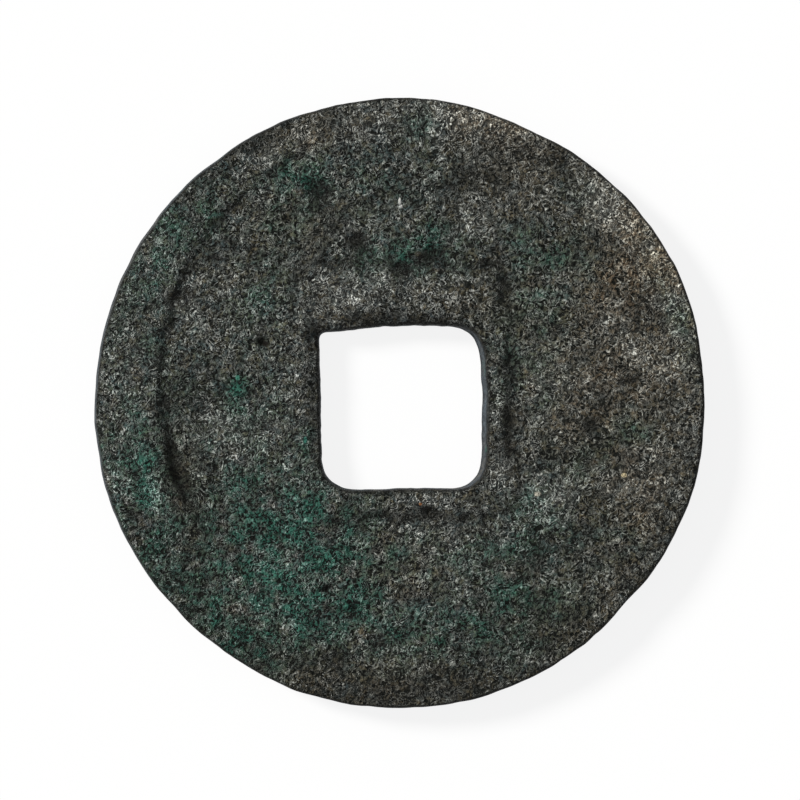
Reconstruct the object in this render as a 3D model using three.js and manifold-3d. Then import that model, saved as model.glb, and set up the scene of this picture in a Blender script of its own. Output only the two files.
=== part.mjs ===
// A cash coin: one bronze casting, round outside, with a square hole and a raised rim round each.
// It lies flat on z = 0 with its plain face up. +X is to the right and +Y to the top of that face.
import * as THREE from "three";
import Module from "manifold-3d";

const wasm = await Module();
wasm.setup();

// Driving sizes, in millimetres
const coinDiameter = 24.5;
const coinThickness = 1.3; // over both rims
const edgeBevel = 0.1; // filed corner of the outer edge
const edgeDraft = 0.14; // the foot of the outer wall stands out this far at edgeDraftAt
const edgeDraftAt = 165; // degrees round from +X

// Plain face: its mould slipped, so that its field lies to the upper right of the coin's centre
const plainFieldDepth = 0.2;
const plainRimWidth = 1.6; // on average
const plainSlipX = 0.85;
const plainSlipY = 0.72;
const plainInnerRim = { left: 0.7, right: 0.8, bottom: 0.9, top: 2.15, corner: 0.55 };

// Inscribed face, left bare: its mould sat true
const otherFieldDepth = 0.22;
const otherRimWidth = 2.3;
const otherInnerRim = { left: 0.9, right: 0.9, bottom: 0.9, top: 0.9, corner: 0.4 };

const rimSlope = 0.16; // how far a rim's wall runs out from its crest to the field

// Square hole, measured at the plain face
const holeWidth = 6.6;
const holeHeight = 6.5;
const holeOffsetX = 0.13;
const holeOffsetY = -0.15;
const holeTopRise = 0.22; // the upper edge climbs this far to its middle
const holeDraft = 0.03; // each wall leans in this far towards the other face
const holeRightDraft = 0.2; // and the right-hand wall this far

// Where each corner lies off the true square, and its radius, anticlockwise from the lower left
const holeCorners = [
  { sideX: -1, sideY: -1, slipX: 0.06, slipY: -0.1, radius: 1.4 },
  { sideX: 1, sideY: -1, slipX: 0.16, slipY: -0.07, radius: 1.4 },
  { sideX: 1, sideY: 1, slipX: 0.02, slipY: -0.05, radius: 1.3 },
  { sideX: -1, sideY: 1, slipX: -0.05, slipY: -0.28, radius: 0.32 },
];

// Bulges and worn flats of the round edge: place and spread in degrees, and how far each stands out
const edgeFlaws = [
  { at: 25, spread: 13, out: 0.12 },
  { at: 66, spread: 9, out: -0.12 },
  { at: 198, spread: 16, out: 0.05 },
  { at: 300, spread: 12, out: -0.04 },
  { at: 319, spread: 6, out: -0.11 },
  { at: 346, spread: 12, out: 0.05 },
];

const edgeSteps = 180; // points round the outer edge
const fieldSteps = 144; // points round a field
const cornerSteps = 8; // faces round a corner
const cutOver = 0.4; // how far a cutting tool runs past the face that it opens

const coinRadius = coinDiameter / 2;

function turnFrom(angle, other) {
  const turn = (angle - other) % 360;
  return turn > 180 ? turn - 360 : turn < -180 ? turn + 360 : turn;
}

// Radius of the outer edge at an angle in degrees, at a share of the height
function edgeRadius(angle, share) {
  const lean = Math.max(0, Math.cos(THREE.MathUtils.degToRad(angle - edgeDraftAt)));
  let radius = coinRadius - edgeDraft * lean * share;
  for (const { at, spread, out } of edgeFlaws) {
    radius += out * Math.exp(-((turnFrom(angle, at) / spread) ** 2));
  }
  return radius;
}

function edgeRing(inset, z) {
  const points = [];
  for (let i = 0; i < edgeSteps; i++) {
    const angle = (360 * i) / edgeSteps;
    const radius = edgeRadius(angle, z / coinThickness) - inset;
    const turn = THREE.MathUtils.degToRad(angle);
    points.push(new THREE.Vector2(radius * Math.cos(turn), radius * Math.sin(turn)));
  }
  return { points, z };
}

function circleRing(x, y, radius, z) {
  const points = [];
  for (let i = 0; i < fieldSteps; i++) {
    const turn = (2 * Math.PI * i) / fieldSteps;
    points.push(new THREE.Vector2(x + radius * Math.cos(turn), y + radius * Math.sin(turn)));
  }
  return { points, z };
}

// An outline through corners {x, y, radius}, anticlockwise, each rounded by a curve
function roundedRing(corners, z) {
  const points = corners.flatMap((corner, i) => {
    const here = new THREE.Vector2(corner.x, corner.y);
    const before = corners.at(i - 1);
    const after = corners[(i + 1) % corners.length];
    const start = new THREE.Vector2(before.x, before.y).sub(here).setLength(corner.radius).add(here);
    const end = new THREE.Vector2(after.x, after.y).sub(here).setLength(corner.radius).add(here);
    return new THREE.QuadraticBezierCurve(start, here, end).getPoints(cornerSteps);
  });
  return { points, z };
}

// Corners of the hole at a share of the height, with the crest of its upper edge as a fifth
function holeOutline(share) {
  const lean = 1 - share;
  const corners = holeCorners.map(({ sideX, sideY, slipX, slipY, radius }) => ({
    x: holeOffsetX + (sideX * holeWidth) / 2 + slipX - lean * (sideX > 0 ? holeRightDraft : -holeDraft),
    y: holeOffsetY + (sideY * holeHeight) / 2 + slipY - lean * sideY * holeDraft,
    radius,
  }));
  const [upperRight, upperLeft] = corners.slice(2);
  const crest = {
    x: (upperRight.x + upperLeft.x) / 2,
    y: (upperRight.y + upperLeft.y) / 2 + holeTopRise,
    radius: holeWidth / 4,
  };
  return [corners[0], corners[1], upperRight, crest, upperLeft];
}

// Corners of an inner rim, whose bands lie outside the hole, grown by a margin on each side
function innerRimOutline({ left, right, bottom, top, corner }, margin) {
  const low = { x: holeOffsetX - holeWidth / 2 - left, y: holeOffsetY - holeHeight / 2 - bottom };
  const high = { x: holeOffsetX + holeWidth / 2 + right, y: holeOffsetY + holeHeight / 2 + top };
  const radius = corner + margin;
  return [
    { x: low.x - margin, y: low.y - margin, radius },
    { x: high.x + margin, y: low.y - margin, radius },
    { x: high.x + margin, y: high.y + margin, radius },
    { x: low.x - margin, y: high.y + margin, radius },
  ];
}

// A closed solid through rings of as many points each, from the lowest to the highest
function solidThrough(rings) {
  const count = rings[0].points.length;
  const places = rings.flatMap(({ points, z }) => points.flatMap(({ x, y }) => [x, y, z]));
  const faces = [];
  for (let low = 0; low < (rings.length - 1) * count; low += count) {
    const high = low + count;
    for (let i = 0; i < count; i++) {
      const next = (i + 1) % count;
      faces.push(low + i, low + next, high + next, low + i, high + next, high + i);
    }
  }
  const last = (rings.length - 1) * count;
  for (const [a, b, c] of THREE.ShapeUtils.triangulateShape(rings[0].points, [])) {
    faces.push(c, b, a);
  }
  for (const [a, b, c] of THREE.ShapeUtils.triangulateShape(rings.at(-1).points, [])) {
    faces.push(last + a, last + b, last + c);
  }
  const mesh = new wasm.Mesh({
    numProp: 3,
    vertProperties: new Float32Array(places),
    triVerts: new Uint32Array(faces),
  });
  return new wasm.Manifold(mesh);
}

// The sunken field of one face, as the solid to cut away: a round pan round the inner rim.
// up is 1 on the upper face at z = face, and -1 on the lower one.
function fieldCut({ face, up, depth, x, y, rimWidth, innerRim }) {
  const radius = coinRadius - rimWidth;
  const runAt = (sunk) => (rimSlope * sunk) / depth; // how far the walls have run in, that deep
  const levels = [depth, -cutOver].map((sunk) => ({ sunk, z: face - up * sunk }));
  const rimLevels = [depth + cutOver, -cutOver].map((sunk) => ({ sunk, z: face - up * sunk }));
  const rising = (list) => list.sort((a, b) => a.z - b.z);
  const pan = solidThrough(rising(levels).map(({ sunk, z }) => circleRing(x, y, radius - runAt(sunk), z)));
  const rim = solidThrough(
    rising(rimLevels).map(({ sunk, z }) => roundedRing(innerRimOutline(innerRim, runAt(sunk)), z)),
  );
  return pan.subtract(rim);
}

function blank() {
  return solidThrough([
    edgeRing(edgeBevel, 0),
    edgeRing(0, edgeBevel),
    edgeRing(0, coinThickness - edgeBevel),
    edgeRing(edgeBevel, coinThickness),
  ]);
}

function holeCut() {
  const leanPast = cutOver / coinThickness; // the walls keep their lean where the tool runs past
  return solidThrough([
    roundedRing(holeOutline(-leanPast), -cutOver),
    roundedRing(holeOutline(1 + leanPast), coinThickness + cutOver),
  ]);
}

function coinSolid() {
  const plainField = fieldCut({
    face: coinThickness,
    up: 1,
    depth: plainFieldDepth,
    x: plainSlipX,
    y: plainSlipY,
    rimWidth: plainRimWidth,
    innerRim: plainInnerRim,
  });
  const otherField = fieldCut({
    face: 0,
    up: -1,
    depth: otherFieldDepth,
    x: 0,
    y: 0,
    rimWidth: otherRimWidth,
    innerRim: otherInnerRim,
  });
  return blank().subtract(plainField).subtract(otherField).subtract(holeCut());
}

function geometryOf(solid) {
  const mesh = solid.getMesh();
  const geometry = new THREE.BufferGeometry();
  geometry.setAttribute("position", new THREE.BufferAttribute(new Float32Array(mesh.vertProperties), 3));
  geometry.setIndex(new THREE.BufferAttribute(new Uint32Array(mesh.triVerts), 1));
  geometry.computeVertexNormals();
  return geometry;
}

const patinatedBronze = new THREE.MeshStandardMaterial({ color: 0x3f433d, roughness: 0.7, metalness: 0.35 });

const castCoin = new THREE.Mesh(geometryOf(coinSolid()), patinatedBronze);
castCoin.name = "cast_coin";

const coin = new THREE.Group();
coin.add(castCoin);

export default coin;
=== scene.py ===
# Dresses the cash coin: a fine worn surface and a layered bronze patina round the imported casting
import math

import bpy
import numpy as np
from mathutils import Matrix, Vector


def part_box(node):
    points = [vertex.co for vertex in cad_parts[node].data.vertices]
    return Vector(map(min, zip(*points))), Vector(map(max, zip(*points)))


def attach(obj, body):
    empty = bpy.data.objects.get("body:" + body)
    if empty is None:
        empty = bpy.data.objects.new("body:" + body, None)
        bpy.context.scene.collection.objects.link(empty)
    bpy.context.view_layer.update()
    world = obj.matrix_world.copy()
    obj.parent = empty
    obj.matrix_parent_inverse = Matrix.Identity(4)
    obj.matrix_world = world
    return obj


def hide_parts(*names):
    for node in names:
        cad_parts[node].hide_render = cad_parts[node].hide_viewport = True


mm = 0.001  # the frame is in metres, and every size below is in millimetres

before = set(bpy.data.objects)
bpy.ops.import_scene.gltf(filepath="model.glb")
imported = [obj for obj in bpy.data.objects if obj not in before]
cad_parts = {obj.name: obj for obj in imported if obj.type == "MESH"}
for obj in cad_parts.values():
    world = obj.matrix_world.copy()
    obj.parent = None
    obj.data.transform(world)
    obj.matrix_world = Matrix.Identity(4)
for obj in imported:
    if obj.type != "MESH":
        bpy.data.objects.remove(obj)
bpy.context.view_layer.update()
coinLow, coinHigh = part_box("cast_coin")
thickness = (coinHigh.z - coinLow.z) / mm
meanRadius = (coinHigh.x - coinLow.x) / mm / 2
print("frame loaded, coin", round(2 * meanRadius, 2), "mm across")


def emptyScene():
    scene = bpy.context.scene
    scene.view_settings.view_transform = "Standard"
    return scene


# Camera: straight above the plain face, as the photograph was taken
cameraSet = {
    "lens": 200,
    "sensor": 36,
    "coinInPicture": 613 / 800,  # share of the picture's width that the coin takes
    "aimX": 0.042,
    "aimY": 0.107,
}


def makeCamera(scene):
    data = bpy.data.cameras.new("camera")
    data.lens = cameraSet["lens"]
    data.sensor_width = cameraSet["sensor"]
    pictureWidth = 24.5 / cameraSet["coinInPicture"]
    away = pictureWidth * cameraSet["lens"] / cameraSet["sensor"]
    camera = bpy.data.objects.new("camera", data)
    camera.location = (cameraSet["aimX"] * mm, cameraSet["aimY"] * mm, (away + thickness) * mm)
    data.clip_start = 0.01
    data.clip_end = 10
    scene.collection.objects.link(camera)
    scene.camera = camera


# Light: a low, soft lamp from the upper left rakes the relief, over an even pale sky
lightSet = {
    "keyFrom": 152,  # degrees round from the right of the picture
    "keyHeight": 30,
    "keyShare": 0.8,  # of the light on a level surface
    "skyShare": 0.3,
    "keyWidth": 14,  # degrees across, for soft shadows
}


# Where the pale surroundings show as they are: to the camera, in a gleam and through glass
def seenPlainly(nodes, links, path):
    seen = path.outputs["Is Camera Ray"]
    for kind in ("Is Glossy Ray", "Is Transmission Ray"):
        either = nodes.new("ShaderNodeMath")
        either.operation = "MAXIMUM"
        links.new(seen, either.inputs[0])
        links.new(path.outputs[kind], either.inputs[1])
        seen = either.outputs[0]
    return seen


def makeLight(scene):
    turn, rise = math.radians(lightSet["keyFrom"]), math.radians(lightSet["keyHeight"])
    data = bpy.data.lights.new("key", "SUN")
    data.energy = lightSet["keyShare"] * math.pi / math.sin(rise)
    data.angle = math.radians(lightSet["keyWidth"])
    data.color = (1.0, 0.985, 0.96)
    key = bpy.data.objects.new("key", data)
    key.rotation_euler = (0, math.pi / 2 - rise, turn)
    scene.collection.objects.link(key)

    world = bpy.data.worlds.new("sky")
    world.use_nodes = True
    nodes, links = world.node_tree.nodes, world.node_tree.links
    nodes.clear()
    seen = seenPlainly(nodes, links, nodes.new("ShaderNodeLightPath"))
    plain = nodes.new("ShaderNodeBackground")
    plain.inputs["Color"].default_value = (0.93, 0.97, 1.0, 1)
    plain.inputs["Strength"].default_value = lightSet["skyShare"]
    white = nodes.new("ShaderNodeBackground")
    white.inputs["Color"].default_value = (1, 1, 1, 1)
    mix = nodes.new("ShaderNodeMixShader")
    out = nodes.new("ShaderNodeOutputWorld")
    links.new(seen, mix.inputs[0])
    links.new(plain.outputs[0], mix.inputs[1])
    links.new(white.outputs[0], mix.inputs[2])
    links.new(mix.outputs[0], out.inputs["Surface"])
    scene.world = world


# Floor: pale, seen as nearly white, and still taking the coin's shadow
floorSet = {"side": 3000, "below": 0.01, "grey": 0.92, "whiteness": 0.86}


def makeFloor(scene):
    half = floorSet["side"] / 2 * mm
    low = coinLow.z - floorSet["below"] * mm
    mesh = bpy.data.meshes.new("floor")
    corners = [(-half, -half, low), (half, -half, low), (half, half, low), (-half, half, low)]
    mesh.from_pydata(corners, [], [(0, 1, 2, 3)])
    floor = bpy.data.objects.new("floor", mesh)
    scene.collection.objects.link(floor)
    material = bpy.data.materials.new("pale_floor")
    material.use_nodes = True
    nodes, links = material.node_tree.nodes, material.node_tree.links
    nodes.clear()
    diffuse = nodes.new("ShaderNodeBsdfDiffuse")
    diffuse.inputs["Color"].default_value = (floorSet["grey"],) * 3 + (1,)
    glow = nodes.new("ShaderNodeEmission")
    path = nodes.new("ShaderNodeLightPath")
    seen = seenPlainly(nodes, links, path)
    share = nodes.new("ShaderNodeMath")
    share.operation = "MULTIPLY"
    share.inputs[1].default_value = floorSet["whiteness"]
    links.new(seen, share.inputs[0])
    pale = nodes.new("ShaderNodeMixShader")
    links.new(share.outputs[0], pale.inputs[0])
    links.new(diffuse.outputs[0], pale.inputs[1])
    links.new(glow.outputs[0], pale.inputs[2])
    # the floor lets the other face be seen, and takes no light from it
    clear = nodes.new("ShaderNodeBsdfTransparent")
    side = nodes.new("ShaderNodeNewGeometry")
    through = nodes.new("ShaderNodeMath")
    through.operation = "MAXIMUM"
    links.new(side.outputs["Backfacing"], through.inputs[0])
    links.new(path.outputs["Is Diffuse Ray"], through.inputs[1])
    both = nodes.new("ShaderNodeMixShader")
    links.new(through.outputs[0], both.inputs[0])
    links.new(pale.outputs[0], both.inputs[1])
    links.new(clear.outputs[0], both.inputs[2])
    out = nodes.new("ShaderNodeOutputMaterial")
    links.new(both.outputs[0], out.inputs["Surface"])
    mesh.materials.append(material)


# Noise in the plane: random heights on a grid, eased between, from -1 to 1
def softNoise(x, y, grain, seed):
    table = np.random.default_rng(seed).uniform(-1, 1, (256, 256))
    u, v = x / grain, y / grain
    i, j = np.floor(u).astype(int), np.floor(v).astype(int)
    fu, fv = u - i, v - j
    fu, fv = fu * fu * (3 - 2 * fu), fv * fv * (3 - 2 * fv)
    low = table[i % 256, j % 256] * (1 - fu) + table[(i + 1) % 256, j % 256] * fu
    high = table[i % 256, (j + 1) % 256] * (1 - fu) + table[(i + 1) % 256, (j + 1) % 256] * fu
    return low * (1 - fv) + high * fv


def layeredNoise(x, y, grain, layers, seed, keep=0.55):
    total, weight, amount = 0, 1, 0
    for layer in range(layers):
        turned = 0.8 * x + 0.6 * y + 3.1 * layer, 0.8 * y - 0.6 * x - 1.7 * layer
        total = total + weight * softNoise(*turned, grain / 2**layer, seed + layer)
        amount += weight
        weight *= keep
    return total / amount


def ease(low, high, value):
    t = np.clip((value - low) / (high - low), 0, 1)
    return t * t * (3 - 2 * t)


# Outlines of the casting, as the solid has them
outlineSet = {
    "draft": 0.14,
    "draftAt": 165,
    "flaws": [(25, 13, 0.12), (66, 9, -0.12), (198, 16, 0.05), (300, 12, -0.04), (319, 6, -0.11), (346, 12, 0.05)],
    "ragged": 0.05,
}
holeSet = {
    "width": 6.6,
    "height": 6.5,
    "x": 0.13,
    "y": -0.15,
    "crest": 0.22,
    "draft": 0.03,
    "rightDraft": 0.2,
    "corners": [(-1, -1, 0.06, -0.1, 1.4), (1, -1, 0.16, -0.07, 1.4), (1, 1, 0.02, -0.05, 1.3), (-1, 1, -0.05, -0.28, 0.32)],
    "ragged": 0.07,
}


def edgeRadius(turn, share):
    angle = np.degrees(turn)
    lean = np.maximum(0, np.cos(turn - math.radians(outlineSet["draftAt"])))
    radius = meanRadius - outlineSet["draft"] * lean * share
    for at, spread, out in outlineSet["flaws"]:
        apart = (angle - at + 180) % 360 - 180
        radius = radius + out * np.exp(-((apart / spread) ** 2))
    x, y = 12 * np.cos(turn), 12 * np.sin(turn)
    return radius - outlineSet["ragged"] * (0.7 + layeredNoise(x, y, 1.1, 3, 31))


def holeCorners(share):
    lean = 1 - share
    places = []
    for sideX, sideY, slipX, slipY, radius in holeSet["corners"]:
        drift = holeSet["rightDraft"] if sideX > 0 else -holeSet["draft"]
        x = holeSet["x"] + sideX * holeSet["width"] / 2 + slipX - lean * drift
        y = holeSet["y"] + sideY * holeSet["height"] / 2 + slipY - lean * sideY * holeSet["draft"]
        places.append((x, y, radius))
    upperRight, upperLeft = places[2], places[3]
    crestX = (upperRight[0] + upperLeft[0]) / 2
    crestY = (upperRight[1] + upperLeft[1]) / 2 + holeSet["crest"]
    return places[:3] + [(crestX, crestY, holeSet["width"] / 4), places[3]]


def holeLineRadius(turn, share):
    corners = holeCorners(share)
    line = []
    steps = np.linspace(0, 1, 16)[:, None]
    for i, (x, y, radius) in enumerate(corners):
        here = np.array([x, y])
        before = np.array(corners[i - 1][:2]) - here
        after = np.array(corners[(i + 1) % len(corners)][:2]) - here
        start = here + before / np.linalg.norm(before) * radius
        end = here + after / np.linalg.norm(after) * radius
        line.append((1 - steps) ** 2 * start + 2 * steps * (1 - steps) * here + steps**2 * end)
    line = np.concatenate(line)
    # points along each straight side too, so that a ray between corners meets the side
    following = np.roll(line, -1, axis=0)
    fine = np.concatenate([line + (following - line) * k / 12 for k in range(12)])
    angles = np.arctan2(fine[:, 1], fine[:, 0]) % (2 * np.pi)
    order = np.argsort(angles)
    return np.interp(turn, angles[order], np.hypot(fine[:, 0], fine[:, 1])[order], period=2 * np.pi)


def holeRadius(turn, share):
    low, high = holeLineRadius(turn, 0), holeLineRadius(turn, 1)
    x, y = 4 * np.cos(turn), 4 * np.sin(turn)
    return low + (high - low) * share + holeSet["ragged"] * layeredNoise(x, y, 0.9, 3, 57)


# Relief of the plain face, whose mould slipped to the upper right
plainFace = {
    "depth": 0.19,
    "fieldRadius": 10.65,
    "slip": (0.85, 0.72),
    "slope": 0.42,
    "foot": 0.04,
    "wander": 0.16,
    # how clearly the step stands at each angle round the field
    "clear": [(0, 0.3), (22, 0.6), (45, 0.75), (62, 0.35), (90, 0.2), (118, 0.25), (140, 0.45), (158, 0.75), (180, 0.7),
              (190, 1.0), (208, 1.0), (220, 0.35), (270, 0.12), (330, 0.15), (360, 0.3)],
    "innerRim": {"left": 0.7, "right": 0.8, "bottom": 0.9, "top": 2.15, "corner": 0.55},
    "bulge": (4.7, -3.2, 0.75, 0.9, 0, 0.42),
    # how clearly the inner rim stands towards each side
    "rimClear": [(0, 0.7), (45, 0.55), (60, 0.7), (90, 0.5), (128, 0.85), (145, 0.3), (180, 0.12), (225, 0.2), (260, 0.7),
                 (290, 0.65), (315, 0.9), (330, 0.9), (360, 0.7)],
}
otherFace = {
    "depth": 0.2,
    "fieldRadius": meanRadius - 2.3,
    "slip": (0, 0),
    "slope": 0.3,
    "foot": 0.03,
    "wander": 0.12,
    "clear": [(0, 0.9), (60, 1.0), (140, 0.75), (200, 1.0), (280, 0.85), (360, 0.9)],
    "innerRim": {"left": 0.9, "right": 0.9, "bottom": 0.9, "top": 0.9, "corner": 0.4},
    "bulge": (0, 0, 1, 1, 0, 0),
    "rimClear": [(0, 0.9), (90, 1.0), (200, 0.8), (300, 1.0), (360, 0.9)],
}
pits = [  # (x, y, half width, half height, turn in degrees, depth)
    (-1.63, 6.35, 0.62, 0.5, -38, 0.16),
    (-3.15, 8.45, 0.6, 0.45, -30, 0.14),
    (1.2, 5.85, 0.75, 0.3, 28, 0.1),
    (0.1, 5.3, 0.55, 0.28, -12, 0.1),
    (0.95, 11.6, 0.09, 0.75, 4, 0.07),
    (-7.3, 5.8, 0.16, 0.16, 0, 0.08),
    (-5.5, 2.45, 0.2, 0.18, 0, 0.16),
    (-2.85, -7.45, 0.28, 0.16, 20, 0.16),
    (-1.75, -8.2, 0.2, 0.15, 0, 0.14),
    (0.2, -7.4, 0.13, 0.13, 0, 0.08),
    (1.3, -4.35, 0.5, 0.2, -20, 0.14),
    (9.3, 0.9, 0.7, 0.18, 12, 0.07),
    (7.7, -0.9, 0.5, 0.2, 35, 0.06),
    (-8.75, -3.0, 0.4, 1.6, 16, 0.1),
    (-8.8, 4.2, 0.8, 0.3, 10, 0.08),
    (4.15, 4.7, 0.16, 0.8, 0, 0.08),
    (4.35, -1.2, 0.2, 1.8, 0, 0.07),
]
lumps = [  # raised crusts and ridges, in the same terms
    (8.3, 7.75, 1.5, 0.2, -40, 0.11),
    (10.35, 5.35, 1.6, 0.22, -62, 0.12),
    (9.3, 2.35, 1.7, 0.16, -48, 0.08),
    (10.9, 1.3, 0.95, 0.14, 12, 0.08),
    (6.5, -3.35, 0.5, 0.3, 20, 0.08),
    (4.15, -2.75, 0.6, 0.4, 30, 0.1),
    (4.9, -3.2, 0.5, 0.6, 20, 0.08),
    (3.78, -1.4, 0.2, 1.6, 3, 0.06),
    (2.95, 4.85, 0.6, 0.3, -18, 0.06),
    (-3.75, 8.95, 0.35, 0.3, 40, 0.06),
    (0.02, 8.05, 0.11, 0.07, 60, 0.08),
    (-9.45, -3.3, 0.16, 1.5, 17, 0.1),
    (3.1, 10.7, 1.0, 0.3, -14, 0.06),
    (-4.9, 9.9, 0.9, 0.25, 25, 0.06),
]


def blob(x, y, spec):
    cx, cy, wide, high, turn = spec[:5]
    c, s = math.cos(math.radians(turn)), math.sin(math.radians(turn))
    u = ((x - cx) * c + (y - cy) * s) / wide
    v = ((y - cy) * c - (x - cx) * s) / high
    return u * u + v * v


def aroundCircle(pairs, turn):
    angles, values = zip(*pairs)
    return np.interp(np.degrees(turn) % 360, angles, values)


def boxDistance(x, y, rim):
    left = holeSet["x"] - holeSet["width"] / 2 - rim["left"]
    right = holeSet["x"] + holeSet["width"] / 2 + rim["right"]
    low = holeSet["y"] - holeSet["height"] / 2 - rim["bottom"]
    high = holeSet["y"] + holeSet["height"] / 2 + rim["top"]
    u = np.abs(x - (left + right) / 2) - (right - left) / 2 + rim["corner"]
    v = np.abs(y - (low + high) / 2) - (high - low) / 2 + rim["corner"]
    outside = np.hypot(np.maximum(u, 0), np.maximum(v, 0))
    return outside + np.minimum(np.maximum(u, v), 0) - rim["corner"]


# How far each point of a face lies below its rims, and how dark the feet of its steps are made: dirt in the grooves,
# and painted shade along the steps
def sunkIn(x, y, face):
    wander = face["wander"] * layeredNoise(x, y, 0.9, 3, 71)
    fade = 1 + 0.5 * layeredNoise(x, y, 1.9, 2, 91)
    fromX, fromY = x - face["slip"][0], y - face["slip"][1]
    inside = face["fieldRadius"] - np.hypot(fromX, fromY) + wander
    clear = aroundCircle(face["clear"], np.arctan2(fromY, fromX)) * fade
    level = ease(0, 1, inside / face["slope"])
    field = face["depth"] * (0.35 + 0.65 * np.minimum(clear, 1)) * level
    foot = np.exp(-(((inside - face["slope"]) / 0.26) ** 2)) * clear
    rim = boxDistance(x, y, face["innerRim"]) + wander - face["bulge"][5] * np.exp(-blob(x, y, face["bulge"]))
    stands = aroundCircle(face["rimClear"], np.arctan2(y - holeSet["y"], x - holeSet["x"])) * fade
    raised = 1 - ease(0, 1, (rim + 0.1) / 0.34)
    rimFoot = np.exp(-(((rim - 0.28) / 0.24) ** 2)) * stands
    sunk = field * (1 - raised * np.minimum(stands, 1)) + face["foot"] * (foot + rimFoot)
    return sunk, np.clip(0.55 * foot + 0.75 * rimFoot, 0, 1)


grainSet = {"swell": 0.04, "lump": 0.06, "crust": 0.05, "grit": 0.03}


def roughness(x, y, seed):
    swell = layeredNoise(x, y, 3.2, 2, seed)
    lump = layeredNoise(x, y, 0.95, 3, seed + 11)
    crust = layeredNoise(x, y, 0.38, 2, seed + 23)
    grit = layeredNoise(x, y, 0.19, 2, seed + 37)
    return (grainSet["swell"] * swell + grainSet["lump"] * lump * np.abs(lump + 0.3)
            + grainSet["crust"] * crust + grainSet["grit"] * grit)


# Rounding of an edge, by the distance in from it
def edgeDrop(distance, width, drop):
    t = np.clip(1 - distance / width, 0, 1)
    return drop * (1 - np.sqrt(1 - t * t))


def topSurface(x, y, fromHole, fromEdge, turn):
    sunk, dirt_and_shade = sunkIn(x, y, plainFace)
    bump = roughness(x, y, 5)
    for spec in pits:
        shape = np.exp(-(blob(x, y, spec) ** 1.5))
        sunk = sunk + spec[5] * shape
        dirt_and_shade = dirt_and_shade + shape
    for spec in lumps:
        sunk = sunk - spec[5] * np.exp(-(blob(x, y, spec) ** 1.2))
    # the hole's left and upper edges are worn into a slope
    worn = aroundCircle([(0, 0.1), (45, 0.15), (60, 0.3), (80, 0.5), (100, 0.7), (135, 0.75), (180, 0.6), (215, 0.45), (235, 0.15), (360, 0.1)], turn)
    sunk = sunk + 0.34 * worn * (1 - ease(0, 1, fromHole / (worn + 0.1)))
    sunk = sunk + edgeDrop(fromHole, 0.14, 0.14) + edgeDrop(fromEdge, 0.15, 0.15)
    # painted shade: the worn slope into the hole is darkened, and a dark line is painted along the outer edge and the
    # hole's edge
    dirt_and_shade = dirt_and_shade + 0.55 * (1 - ease(0, 1, fromHole / (worn + 0.12)))
    dirt_and_shade = dirt_and_shade + 1.3 * (1 - ease(0.04, 0.13, fromEdge)) + 1.2 * (1 - ease(0.04, 0.14, fromHole))
    bump = bump * ease(0, 0.2, np.minimum(fromEdge, fromHole))
    return np.minimum(thickness - 0.06 - sunk + bump, thickness), dirt_and_shade


def lowSurface(x, y, fromHole, fromEdge, turn):
    sunk, dirt_and_shade = sunkIn(x, y, otherFace)
    bump = roughness(x, y, 105)
    sunk = sunk + edgeDrop(fromHole, 0.14, 0.14) + edgeDrop(fromEdge, 0.15, 0.15)
    # a dark line of painted shade along both edges of this face too
    dirt_and_shade = dirt_and_shade + 0.9 * (1 - ease(0.02, 0.13, fromEdge)) + 0.9 * (1 - ease(0.02, 0.14, fromHole))
    return np.maximum(sunk + 0.03 - bump * ease(0, 0.2, np.minimum(fromEdge, fromHole)), 0), dirt_and_shade
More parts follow.
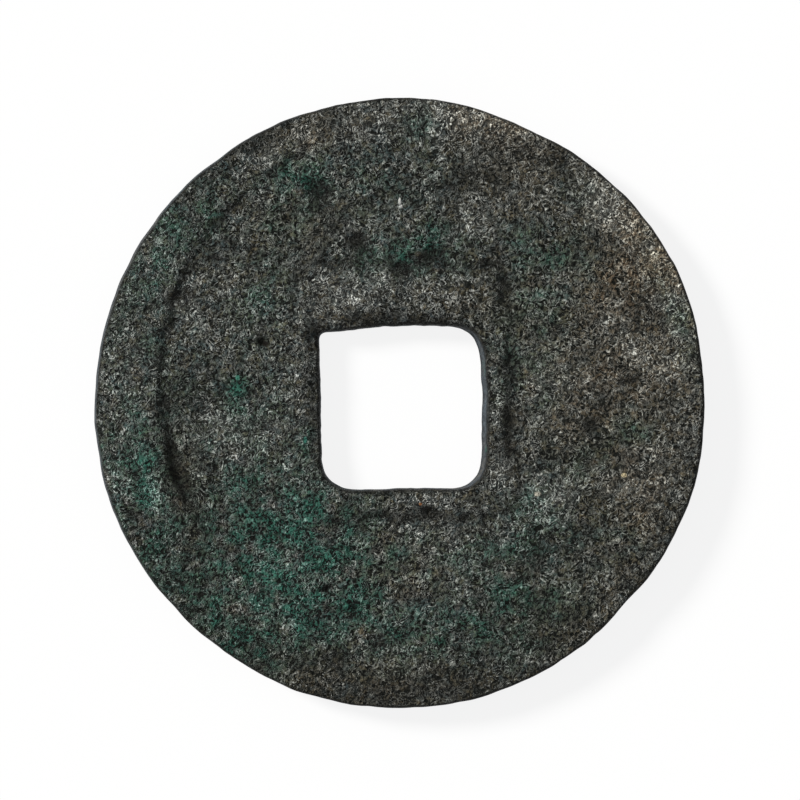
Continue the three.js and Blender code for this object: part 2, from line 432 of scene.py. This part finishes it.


# Coloured growths on the plain face, and patches of painted highlight and painted shade: (x, y, half width, half
# height, turn, strength)
growthsAndShading = {
    "green": [
        (-3.6, -5.6, 2.4, 2.3, -20, 1.0), (-3.1, -8.3, 2.9, 1.3, 12, 0.85), (-5.6, -4.6, 1.8, 1.5, 0, 0.55),
        (-10.8, -3.0, 1.3, 3.4, 12, 0.6), (-7.9, -6.5, 2.2, 1.8, -40, 0.45), (1.7, -9.3, 2.8, 1.0, 12, 0.6),
        (4.4, -6.2, 1.6, 1.7, 0, 0.6), (6.0, 5.9, 1.6, 1.1, 0, 0.4), (5.9, 4.0, 1.1, 1.0, 0, 0.3), (4.0, -8.0, 1.2, 0.8, 0, 0.25), (6.0, -8.0, 1.3, 0.7, 0, 0.35), (0.5, 6.1, 2.1, 0.8, 8, 0.9),
        (-4.0, 8.9, 0.9, 0.8, 0, 0.8), (-7.6, 7.9, 1.7, 1.0, 45, 0.42), (-5.3, 4.6, 1.2, 1.4, 0, 0.4),
        (-3.75, -1.5, 0.3, 0.6, 0, 0.6), (-6.4, 0.85, 0.45, 0.45, 0, 0.55), (-6.3, 0.0, 0.4, 1.0, 0, 0.35), (5.1, 1.8, 1.3, 2.2, 0, 0.35),
        (-1.0, 8.9, 2.6, 1.2, 0, 0.3), (9.3, -1.0, 0.7, 0.6, 0, 0.5), (-9.4, 5.6, 0.9, 1.6, -30, 0.5),
        (7.9, -5.6, 1.6, 1.0, 0, 0.3), (1.0, -6.0, 1.4, 0.7, 0, 0.4), (-9.9, 0.5, 1.8, 5.5, 0, 0.25),
        (-5.8, -1.0, 2.0, 3.0, 0, 0.22), (7.2, 8.4, 1.0, 0.5, -38, 0.2), (5.0, -9.6, 2.0, 0.9, -25, 0.35),
        (0.7, 10.9, 0.5, 0.8, 0, 0.5), (10.9, 4.0, 0.4, 2.2, 20, 0.4), (5.8, -4.0, 1.0, 1.0, 0, 0.5),
        (7.6, -2.2, 1.0, 0.8, 0, 0.35), (-6.4, -9.4, 1.6, 0.9, -40, 0.5), (-4.3, 7.7, 1.2, 1.0, 0, 0.45),
        (4.6, 4.4, 0.8, 1.4, 0, 0.1),
    ],
    "earth": [
        (10.3, 5.7, 1.3, 3.3, 28, 0.9), (4.0, 11.0, 2.0, 0.9, -12, 0.75), (7.8, 2.4, 3.0, 3.2, 0, 0.46), (8.2, 5.4, 1.2, 1.4, 20, 0.4),
        (8.8, -1.6, 3.0, 2.6, 0, 0.35), (-0.2, -6.3, 1.6, 1.6, 0, 0.35), (-2.0, -10.9, 4.2, 1.1, 0, 0.4),
        (4.9, 8.9, 2.2, 1.3, 0, 0.25), (6.3, -8.6, 2.8, 1.8, -40, 0.4), (-3.6, 10.6, 1.4, 0.8, 25, 0.4),
        (2.9, 3.9, 0.7, 0.4, 0, 0.5), (4.6, 3.6, 0.8, 1.0, 0, 0.4), (-6.4, -9.0, 2.0, 1.0, -40, 0.3),
        (-8.7, -3.2, 0.6, 1.7, 16, 0.8), (-4.0, 7.0, 1.6, 1.2, 0, 0.3), (9.5, -4.5, 1.0, 2.0, -20, 0.5),
    ],
    # pale crust, partly painted highlight: lighter on the ridges and crusts and towards the top and upper right
    "pale_crust_and_highlight": [
        (-2.1, 4.5, 1.7, 0.8, 0, 0.55), (1.3, 4.6, 2.1, 0.7, 0, 0.25), (-5.2, 9.8, 1.3, 0.6, 28, 0.5), (-1.4, 11.1, 2.4, 0.7, 4, 0.6),
        (3.2, 11.1, 2.1, 0.9, -16, 0.8), (8.2, 7.9, 1.9, 0.75, -42, 1.35), (10.4, 5.6, 0.85, 2.3, 26, 1.1),
        (9.4, 2.5, 1.8, 0.6, -48, 0.7), (10.9, 1.4, 1.0, 0.5, 10, 0.6), (6.5, -3.3, 0.7, 0.5, 0, 1.0),
        (3.9, -1.3, 0.16, 1.5, 3, 1.0), (4.15, -2.7, 0.6, 0.45, 0, 1.0), (1.3, -3.95, 0.9, 0.22, 0, 0.9),
        (0.02, 8.05, 0.12, 0.16, 0, 2.0), (-10.6, 1.0, 0.9, 2.0, 0, 0.45), (-9.8, -3.5, 0.3, 1.6, 18, 0.8),
        (2.7, 7.2, 0.9, 0.9, 0, 0.5), (-6.0, -1.4, 1.6, 1.3, 0, 0.4), (10.2, -2.6, 1.4, 1.6, 0, 0.3),
        (5.9, 0.9, 0.8, 1.6, 0, 0.4), (-3.7, 0.5, 0.9, 3.2, 0, 0.35), (-10.0, 5.6, 1.0, 2.4, -28, 0.4),
        (7.0, 0.6, 1.2, 1.2, 0, 0.25), (-3.9, 8.1, 0.3, 0.7, 0, 0.7), (-8.9, 4.0, 0.7, 0.8, 0, 0.7),
        (-1.0, 6.6, 1.4, 1.7, 0, 0.15), (6.0, -3.5, 0.6, 0.35, 0, 1.0), (9.3, -3.2, 1.2, 0.6, 0, 0.5),
        (-7.1, -0.7, 0.7, 0.8, 0, 0.7), (4.9, -10.4, 0.9, 0.35, 20, 0.9), (0.1, -10.2, 1.1, 0.8, 0, 0.4),
        (7.7, -7.2, 1.4, 1.4, 0, 0.08), (10.6, 1.9, 0.9, 1.3, 0, 0.15), (1.8, -5.0, 1.5, 0.6, 0, 0.4),
        (-5.3, 9.9, 0.5, 0.3, 20, 0.5), (5.0, 9.0, 0.8, 0.3, -20, 0.5), (-6.3, 4.0, 1.2, 1.1, 0, 0.3),
        (-11.7, -3.2, 0.6, 2.0, 10, 0.5), (-4.1, -6.2, 0.9, 0.8, 0, 0.2), (-5.2, -8.0, 1.3, 0.8, -20, 0.3),
        (5.6, -4.0, 1.0, 0.8, 0, 0.3), (11.4, 6.0, 0.6, 1.4, 26, 1.0), (5.9, -4.0, 0.8, 0.8, 0, 0.3), (-12.0, -3.6, 0.4, 1.6, 16, 0.6), (3.8, -6.0, 1.2, 1.0, 0, 0.25),
        (4.2, 8.0, 2.0, 0.5, 0, 0.3), (4.0, 11.5, 1.3, 0.5, -18, 1.5), (2.0, 11.9, 1.0, 0.35, -8, 0.8),
        (11.5, 6.2, 0.5, 1.4, 26, 1.0), (-2.3, 3.7, 1.0, 0.5, 2, 0.7), (2.4, 9.9, 0.9, 0.6, 0, 0.15),
    ],
    # painted shade: darker towards the bottom and lower right, above the hole, at places along the edge and over the
    # pits
    "shade": [
        (6.5, -9.2, 3.4, 2.0, -38, 0.8), (-3.0, -11.0, 5.0, 1.3, -8, 1.1), (10.5, -5.0, 1.2, 2.6, -20, 0.5),
        (6.3, 8.4, 2.0, 0.6, -30, 0.2), (1.9, 8.6, 2.3, 0.6, 4, 0.7), (-4.2, 6.0, 1.4, 1.1, -30, 0.35),
        (-3.6, 7.6, 2.0, 0.6, -8, 0.45), (-10.2, 8.2, 1.5, 0.8, 45, 0.4), (4.4, 3.0, 0.45, 2.4, 4, 0.6),
        (4.5, -0.6, 0.35, 2.2, 0, 0.5), (-8.6, -8.2, 3.0, 1.2, -45, 0.5), (2.0, 7.3, 0.8, 0.7, 0, 0.4),
        (-8.6, -3.1, 0.5, 1.7, 16, 0.55), (-8.9, 4.3, 0.9, 0.35, 10, 0.5), (-0.8, -4.6, 2.9, 0.3, 2, 0.5),
        (0.8, 3.4, 2.5, 0.35, 2, 1.0), (0.0, 5.6, 2.4, 0.35, -4, 0.4), (-6.0, 10.1, 1.2, 0.9, 30, 0.8), (5.7, 9.9, 1.2, 0.6, -30, 0.9), (3.9, 10.0, 1.0, 0.6, 0, 0.9), (-7.9, 8.0, 1.2, 0.8, 45, 0.35), (2.9, 10.1, 1.8, 0.5, 0, 0.4),
        (0.2, 4.2, 0.8, 0.5, 0, 0.6), (7.8, -2.0, 1.0, 0.9, 0, 0.35), (5.9, -6.0, 1.2, 0.9, 0, 0.9), (3.9, -2.2, 0.8, 1.0, 0, 0.7), (0.0, -4.3, 1.4, 0.5, 0, 0.5), (-2.2, -4.2, 1.4, 0.5, 0, 0.4),
        (-8.2, 0.1, 1.2, 1.1, 0, 1.2), (10.0, 3.8, 0.6, 1.0, 0, 0.3), (-5.2, 11.0, 2.0, 0.7, 26, 0.9), (-8.9, 7.6, 1.4, 0.8, 47, 0.6),
        (-9.4, -5.2, 0.9, 1.3, 30, 0.5), (-3.4, -3.1, 0.9, 0.6, 0, 0.4), (9.9, 4.2, 0.9, 1.0, 0, 0.4),
        (7.4, -1.0, 0.9, 0.4, 35, 0.4), (2.5, -11.0, 3.5, 1.1, 10, 0.8),
        (-1.65, 6.35, 0.45, 0.35, -38, 1.6), (-3.25, 8.5, 0.55, 0.42, -30, 1.1), (0.2, 5.5, 0.9, 0.3, -25, 0.8),
        (1.1, 5.9, 0.8, 0.3, 28, 0.6), (7.0, 9.2, 1.4, 0.6, -37, 0.7), (3.2, 9.0, 1.8, 0.5, -12, 0.5),
        (7.9, -1.0, 2.6, 2.6, 0, 0.2), (9.8, 4.1, 0.7, 1.0, 0, 0.5), (8.6, 3.6, 1.3, 1.6, 0, 0.25), (4.1, 4.7, 0.25, 0.9, 0, 0.7),
    ],
}


def growthAndShadingPatch(x, y, kind, seed):
    warpX = x + 0.5 * layeredNoise(x, y, 1.3, 3, seed)
    warpY = y + 0.5 * layeredNoise(x, y, 1.3, 3, seed + 9)
    total = 0
    for spec in growthsAndShading[kind]:
        total = total + spec[5] * np.exp(-blob(warpX, warpY, spec) * 0.9)
    broken = 0.75 + 0.5 * layeredNoise(x, y, 0.8, 3, seed + 21)
    return total * broken


# On the other face and the walls nothing is seen in the photograph, so growths lie by chance
def chanceGrowth(x, y, share, seed):
    return ease(1 - share, 1.15 - 0.4 * share, 0.5 + 0.8 * layeredNoise(x, y, 2.6, 4, seed))


meshSet = {"around": 690, "topRings": 108, "lowRings": 22, "wallRings": 6}


def spacing(count):
    u = np.linspace(0, 1, count)
    return 0.72 * u + 0.28 * (1 - np.cos(np.pi * u)) / 2


def makeCoin(scene):
    turn = np.linspace(0, 2 * np.pi, meshSet["around"], endpoint=False)
    rows = []  # each is x, y, z and the masks, from the hole's upper edge out, down, in and up

    def faceRows(count, share, surface, outwards):
        inner, outer = holeRadius(turn, share), edgeRadius(turn, share)
        steps = spacing(count) if outwards else spacing(count)[::-1]
        for t in steps:
            radius = inner + (outer - inner) * t
            x, y = radius * np.cos(turn), radius * np.sin(turn)
            height, dirt_and_shade = surface(x, y, radius - inner, outer - radius, turn)
            if share:
                masks = [growthAndShadingPatch(x, y, kind, 200 + 40 * n) for n, kind in enumerate(growthsAndShading)]
            else:
                masks = [chanceGrowth(x, y, amount, 400 + 40 * n) for n, amount in enumerate((0.4, 0.45, 0.3, 0.35))]
            rows.append((x, y, height, *masks, dirt_and_shade))

    def wallRows(radiusAt, top, low, seed, bulge):
        count = meshSet["wallRings"]
        for k in range(1, count + 1):
            share = k / (count + 1)
            z = top + (low - top) * share
            along = turn * 12
            rough = bulge * (0.5 + layeredNoise(along, z * 2, 0.7, 3, seed)) * np.sin(np.pi * share)
            radius = radiusAt(turn, np.clip(z / thickness, 0, 1)) + rough
            x, y = radius * np.cos(turn), radius * np.sin(turn)
            masks = [chanceGrowth(along, z * 3, amount, seed + 40 * n) for n, amount in enumerate((0.35, 0.5, 0.3, 0.3))]
            rows.append((x, y, z, *masks, 0.25 + 0 * x))

    faceRows(meshSet["topRings"], 1, topSurface, True)
    topZ = rows[-1][2]
    faceStart = len(rows)
    lowInner, lowOuter = holeRadius(turn, 0), edgeRadius(turn, 0)
    x, y = lowOuter * np.cos(turn), lowOuter * np.sin(turn)
    lowZ, _ = lowSurface(x, y, lowOuter - lowInner, 0 * turn, turn)
    wallRows(edgeRadius, topZ, lowZ, 500, -0.03)
    wallEnd = len(rows)
    faceRows(meshSet["lowRings"], 0, lowSurface, False)
    lowEnd = len(rows)
    wallRows(holeRadius, rows[-1][2], rows[0][2], 700, 0.03)

    around, count = meshSet["around"], len(rows)
    table = np.array([[np.broadcast_to(value, turn.shape) for value in row] for row in rows])
    places = table[:, :3].transpose(0, 2, 1).reshape(-1, 3) * mm
    row, column = np.meshgrid(np.arange(count), np.arange(around), indexing="ij")
    nextRow, nextColumn = (row + 1) % count, (column + 1) % around
    quads = np.stack([row * around + column, nextRow * around + column,
                      nextRow * around + nextColumn, row * around + nextColumn], -1).reshape(-1, 4)
    mesh = bpy.data.meshes.new("coin_surface")
    mesh.from_pydata(places.tolist(), [], quads.tolist())
    for n, name in enumerate([*growthsAndShading, "dirt_and_shade"]):
        layer = mesh.attributes.new(name, "FLOAT", "POINT")
        layer.data.foreach_set("value", np.clip(table[:, 3 + n], 0, 2).ravel().astype(np.float32))
    wall = (row >= faceStart - 1) & (row < wallEnd) | (row >= lowEnd - 1)
    mesh.polygons.foreach_set("material_index", wall.ravel().astype(np.int32))
    mesh.polygons.foreach_set("use_smooth", np.ones(len(quads), bool))
    mesh.update()
    coin = bpy.data.objects.new("coin_surface", mesh)
    scene.collection.objects.link(coin)
    return coin


# Shader helpers
def link(tree, source, target):
    tree.links.new(source, target)


def math2(tree, operation, a, b, clamp=False):
    node = tree.nodes.new("ShaderNodeMath")
    node.operation = operation
    node.use_clamp = clamp
    for socket, value in zip(node.inputs, (a, b)):
        if isinstance(value, (int, float)):
            socket.default_value = value
        else:
            link(tree, value, socket)
    return node.outputs[0]


def mixColour(tree, factor, a, b, blend="MIX"):
    node = tree.nodes.new("ShaderNodeMix")
    node.data_type = "RGBA"
    node.blend_type = blend
    node.clamp_factor = True
    for name, value in (("Factor_Float", factor), ("A_Color", a), ("B_Color", b)):
        socket = next(s for s in node.inputs if s.identifier == name)
        if isinstance(value, (int, float)):
            socket.default_value = value
        elif isinstance(value, tuple):
            socket.default_value = (*value, 1)
        else:
            link(tree, value, socket)
    return next(s for s in node.outputs if s.identifier == "Result_Color")


def startGroup(name, inputs, outputs):
    tree = bpy.data.node_groups.new(name, "ShaderNodeTree")
    for label, kind, value in inputs:
        socket = tree.interface.new_socket(name=label, in_out="INPUT", socket_type=kind)
        if value is not None:
            socket.default_value = value
    for label, kind in outputs:
        tree.interface.new_socket(name=label, in_out="OUTPUT", socket_type=kind)
    return tree, tree.nodes.new("NodeGroupInput").outputs, tree.nodes.new("NodeGroupOutput").inputs


# Grain of a corroded casting: sharp speckle, thin curly strokes that are raised and then painted pale, partly as pale
# grains and partly as painted glints, and the height of both
def grainGroup():
    tree, given, out = startGroup(
        "cast_grain",
        [("Vector", "NodeSocketVector", None), ("Size", "NodeSocketFloat", 0.15),
         ("Softness", "NodeSocketFloat", 0.09), ("Stroke", "NodeSocketFloat", 0.05)],
        [("Speckle", "NodeSocketFloat"), ("Strokes", "NodeSocketFloat"), ("Height", "NodeSocketFloat")],
    )
    finer = math2(tree, "DIVIDE", 1.0, given["Size"])

    def noiseAt(scale, distortion):
        noise = tree.nodes.new("ShaderNodeTexNoise")
        noise.inputs["Detail"].default_value = 2.0
        noise.inputs["Roughness"].default_value = 0.6
        noise.inputs["Distortion"].default_value = distortion
        link(tree, given["Vector"], noise.inputs["Vector"])
        link(tree, scale, noise.inputs["Scale"])
        return noise.outputs[0]

    def step(value, low, high):
        ramp = tree.nodes.new("ShaderNodeMapRange")
        ramp.interpolation_type = "SMOOTHSTEP"
        for socket, source in (("Value", value), ("From Min", low), ("From Max", high)):
            if isinstance(source, (int, float)):
                ramp.inputs[socket].default_value = source
            else:
                link(tree, source, ramp.inputs[socket])
        return ramp.outputs[0]

    grit = noiseAt(finer, 0.8)
    low = math2(tree, "SUBTRACT", 0.5, given["Softness"])
    high = math2(tree, "ADD", 0.5, given["Softness"])
    curl = noiseAt(math2(tree, "MULTIPLY", finer, 0.45), 1.4)
    away = math2(tree, "ABSOLUTE", math2(tree, "SUBTRACT", curl, 0.5), 0.0)
    strokes = math2(tree, "SUBTRACT", 1.0, step(away, 0.0, given["Stroke"]))
    height = math2(tree, "ADD", grit, math2(tree, "MULTIPLY", strokes, 0.14))
    link(tree, step(grit, low, high), out["Speckle"])
    link(tree, strokes, out["Strokes"])
    link(tree, height, out["Height"])
    return tree


# A patch's ragged edge: a soft mask is broken up by noise of a given size
def raggedGroup():
    tree, given, out = startGroup(
        "ragged_mask",
        [("Mask", "NodeSocketFloat", 0.0), ("Vector", "NodeSocketVector", None),
         ("Size", "NodeSocketFloat", 0.3), ("Break", "NodeSocketFloat", 0.6)],
        [("Mask", "NodeSocketFloat")],
    )
    finer = math2(tree, "DIVIDE", 1.0, given["Size"])
    noise = tree.nodes.new("ShaderNodeTexNoise")
    noise.inputs["Detail"].default_value = 3.0
    noise.inputs["Roughness"].default_value = 0.6
    link(tree, given["Vector"], noise.inputs["Vector"])
    link(tree, finer, noise.inputs["Scale"])
    centred = math2(tree, "SUBTRACT", noise.outputs[0], 0.5)
    spread = math2(tree, "MULTIPLY", centred, given["Break"])
    scaled = math2(tree, "MULTIPLY", spread, 4.0)
    gain = math2(tree, "ADD", scaled, 1.0)
    broken = math2(tree, "MULTIPLY", gain, given["Mask"], clamp=True)
    link(tree, broken, out["Mask"])
    return tree


# A tiny mark that the grain doesn't make: a soft oval at one place on the plain face
def spotGroup():
    tree, given, out = startGroup(
        "tiny_mark",
        [("Vector", "NodeSocketVector", None), ("Centre", "NodeSocketVector", None),
         ("Spread", "NodeSocketVector", None), ("Level", "NodeSocketFloat", 0.65)],
        [("Mask", "NodeSocketFloat")],
    )
    parts = tree.nodes.new("ShaderNodeSeparateXYZ")
    link(tree, given["Vector"], parts.inputs[0])
    above = math2(tree, "GREATER_THAN", parts.outputs["Z"], given["Level"])
    apart = tree.nodes.new("ShaderNodeVectorMath")
    apart.operation = "SUBTRACT"
    link(tree, given["Vector"], apart.inputs[0])
    link(tree, given["Centre"], apart.inputs[1])
    shaped = tree.nodes.new("ShaderNodeVectorMath")
    shaped.operation = "DIVIDE"
    link(tree, apart.outputs[0], shaped.inputs[0])
    link(tree, given["Spread"], shaped.inputs[1])
    length = tree.nodes.new("ShaderNodeVectorMath")
    length.operation = "LENGTH"
    link(tree, shaped.outputs[0], length.inputs[0])
    ramp = tree.nodes.new("ShaderNodeMapRange")
    ramp.interpolation_type = "SMOOTHSTEP"
    ramp.inputs["From Min"].default_value = 1.2
    ramp.inputs["From Max"].default_value = 0.6
    link(tree, length.outputs["Value"], ramp.inputs["Value"])
    link(tree, math2(tree, "MULTIPLY", ramp.outputs[0], above), out["Mask"])
    return tree


tinyMarks = [  # place, half sizes and colour
    ((0.03, 8.05), (0.06, 0.17), (0.8, 0.8, 0.76)),
    ((0.1, 7.85), (0.05, 0.08), (0.7, 0.7, 0.66)),
    ((0.86, -4.05), (0.07, 0.06), (0.42, 0.19, 0.08)),
    ((-6.45, 1.0), (0.09, 0.11), (0.07, 0.25, 0.18)),
    ((-3.75, -1.5), (0.09, 0.15), (0.05, 0.18, 0.14)),
    ((-5.35, 2.35), (0.14, 0.14), (0.01, 0.009, 0.007)),
    ((5.55, -3.65), (0.16, 0.1), (0.42, 0.4, 0.33)),
    ((9.0, -2.9), (0.12, 0.1), (0.5, 0.42, 0.26)),
]


# Looks of the two surfaces, in linear colours
faceLook = {
    "dark": (0.0024, 0.0032, 0.002),
    "body": (0.076, 0.0845, 0.069),
    # pale colours of the strokes: partly pale grains, partly painted glints
    "light": (0.86, 0.88, 0.82),
    "green": (0.036, 0.128, 0.094),
    "mint": (0.42, 0.66, 0.58),
    "cream": (0.9, 0.82, 0.65),
    "cool": (0.055, 0.083, 0.1),
    "warm": (0.118, 0.088, 0.045),
    "earth": (0.15, 0.108, 0.068),
    # near black, for dirt in the hollows and for painted shade along the steps and edges
    "dirt_and_shade": (0.006, 0.006, 0.005),
    "roughness": 0.66,
    "metal": 0.07,
    "specular": 0.1,
    "grain": 0.155,
    "bump": 0.15,
    "strokes": 1.03,
}
# the walls: a bluish grey that is partly patina and partly a painted cool sheen
wallLookWithCoolSheen = dict(faceLook, dark=(0.03, 0.036, 0.042), body=(0.07, 0.086, 0.098), light=(0.2, 0.23, 0.25),
                cool=(0.056, 0.082, 0.104), warm=(0.082, 0.087, 0.088), earth=(0.1, 0.092, 0.078),
                grain=0.2, bump=0.05, strokes=0.2)


def bronze(name, look, groups):
    material = bpy.data.materials.new(name)
    material.use_nodes = True
    tree = material.node_tree
    tree.nodes.clear()
    place = tree.nodes.new("ShaderNodeTexCoord")
    scale = tree.nodes.new("ShaderNodeVectorMath")
    scale.operation = "SCALE"
    scale.inputs["Scale"].default_value = 1 / mm
    link(tree, place.outputs["Object"], scale.inputs[0])
    where = scale.outputs[0]

    def grain(size, softness, stroke):
        node = tree.nodes.new("ShaderNodeGroup")
        node.node_tree = groups["grain"]
        link(tree, where, node.inputs["Vector"])
        for label, value in (("Size", size), ("Softness", softness), ("Stroke", stroke)):
            node.inputs[label].default_value = value
        return node.outputs

    def ragged(kind, size, amount):
        read = tree.nodes.new("ShaderNodeAttribute")
        read.attribute_name = kind
        node = tree.nodes.new("ShaderNodeGroup")
        node.node_tree = groups["ragged"]
        link(tree, read.outputs["Fac"], node.inputs["Mask"])
        link(tree, where, node.inputs["Vector"])
        node.inputs["Size"].default_value = size
        node.inputs["Break"].default_value = amount
        return node.outputs["Mask"]

    fine = grain(look["grain"], 0.05, 0.045)
    coarse = grain(look["grain"] * 4, 0.1, 0.05)
    green = ragged("green", 0.9, 1.5)
    pale_crust_and_highlight = ragged("pale_crust_and_highlight", 0.3, 0.9)
    earth = ragged("earth", 0.5, 1.0)
    # the bare metal's skin is bluish in places and rusty in others
    tint = grain(look["grain"] * 3, 0.25, 0.05)["Speckle"]
    skin = mixColour(tree, 0.65, look["body"], mixColour(tree, tint, look["cool"], look["warm"]))
    body = mixColour(tree, earth, skin, look["earth"])
    grown = mixColour(tree, green, body, look["green"])
    spotted = mixColour(tree, fine["Speckle"], look["dark"], grown)
    cloud = math2(tree, "MULTIPLY", math2(tree, "SUBTRACT", 1.0, coarse["Speckle"]), 0.4)
    clouded = mixColour(tree, cloud, spotted, look["dark"])
    # pale strokes lie everywhere, and crowd where the pale crust and painted highlight patches are; they are partly
    # pale grains and partly painted glints
    clump = grain(look["grain"] * 7, 0.07, 0.05)["Speckle"]
    crowd = math2(tree, "ADD", math2(tree, "MULTIPLY", pale_crust_and_highlight, 0.7), math2(tree, "MULTIPLY", clump, 0.27))
    crowd = math2(tree, "ADD", crowd, 0.16)
    share = math2(tree, "MULTIPLY", math2(tree, "MULTIPLY", fine["Strokes"], crowd), look["strokes"], clamp=True)
    pale = mixColour(tree, green, mixColour(tree, earth, look["light"], look["cream"]), look["mint"])
    struck = mixColour(tree, share, clouded, pale)
    # a faint painted haze of the same pale colour over those patches
    hazy = mixColour(tree, math2(tree, "MULTIPLY", pale_crust_and_highlight, 0.05), struck, pale)
    # painted shade: the shade patches darken the colour
    shaded = mixColour(tree, math2(tree, "MULTIPLY", ragged("shade", 0.5, 0.6), 0.5), hazy, look["dark"])
    # dirt in the grooves and pits, and painted shade along the steps and the edges, darken the colour further
    grimed_and_shaded = mixColour(tree, math2(tree, "MULTIPLY", ragged("dirt_and_shade", 0.3, 0.4), 0.72), shaded, look["dirt_and_shade"])

    marked = grimed_and_shaded
    for (x, y), (wide, high), colour in tinyMarks:
        node = tree.nodes.new("ShaderNodeGroup")
        node.node_tree = groups["spot"]
        link(tree, where, node.inputs["Vector"])
        node.inputs["Centre"].default_value = (x, y, thickness)
        node.inputs["Spread"].default_value = (wide, high, thickness)
        marked = mixColour(tree, node.outputs["Mask"], marked, colour)

    height = math2(tree, "ADD", fine["Height"], math2(tree, "MULTIPLY", coarse["Height"], 1.2))
    bump = tree.nodes.new("ShaderNodeBump")
    bump.inputs["Strength"].default_value = 1.0
    bump.inputs["Distance"].default_value = look["bump"] * 2 * mm
    link(tree, height, bump.inputs["Height"])
    surface = tree.nodes.new("ShaderNodeBsdfPrincipled")
    surface.inputs["Roughness"].default_value = look["roughness"]
    surface.inputs["Metallic"].default_value = look["metal"]
    surface.inputs["Specular IOR Level"].default_value = look["specular"]
    link(tree, marked, surface.inputs["Base Color"])
    link(tree, bump.outputs[0], surface.inputs["Normal"])
    out = tree.nodes.new("ShaderNodeOutputMaterial")
    link(tree, surface.outputs[0], out.inputs["Surface"])
    return material


scene = emptyScene()
makeCamera(scene)
makeLight(scene)
makeFloor(scene)
print("camera, light and floor ready")

coin = makeCoin(scene)
print("coin surface made,", len(coin.data.polygons), "faces")

groups = {"grain": grainGroup(), "ragged": raggedGroup(), "spot": spotGroup()}
coin.data.materials.append(bronze("face_patina", faceLook, groups))
coin.data.materials.append(bronze("edge_patina_and_cool_sheen", wallLookWithCoolSheen, groups))
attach(coin, "root")
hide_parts("cast_coin")
print("patina ready")
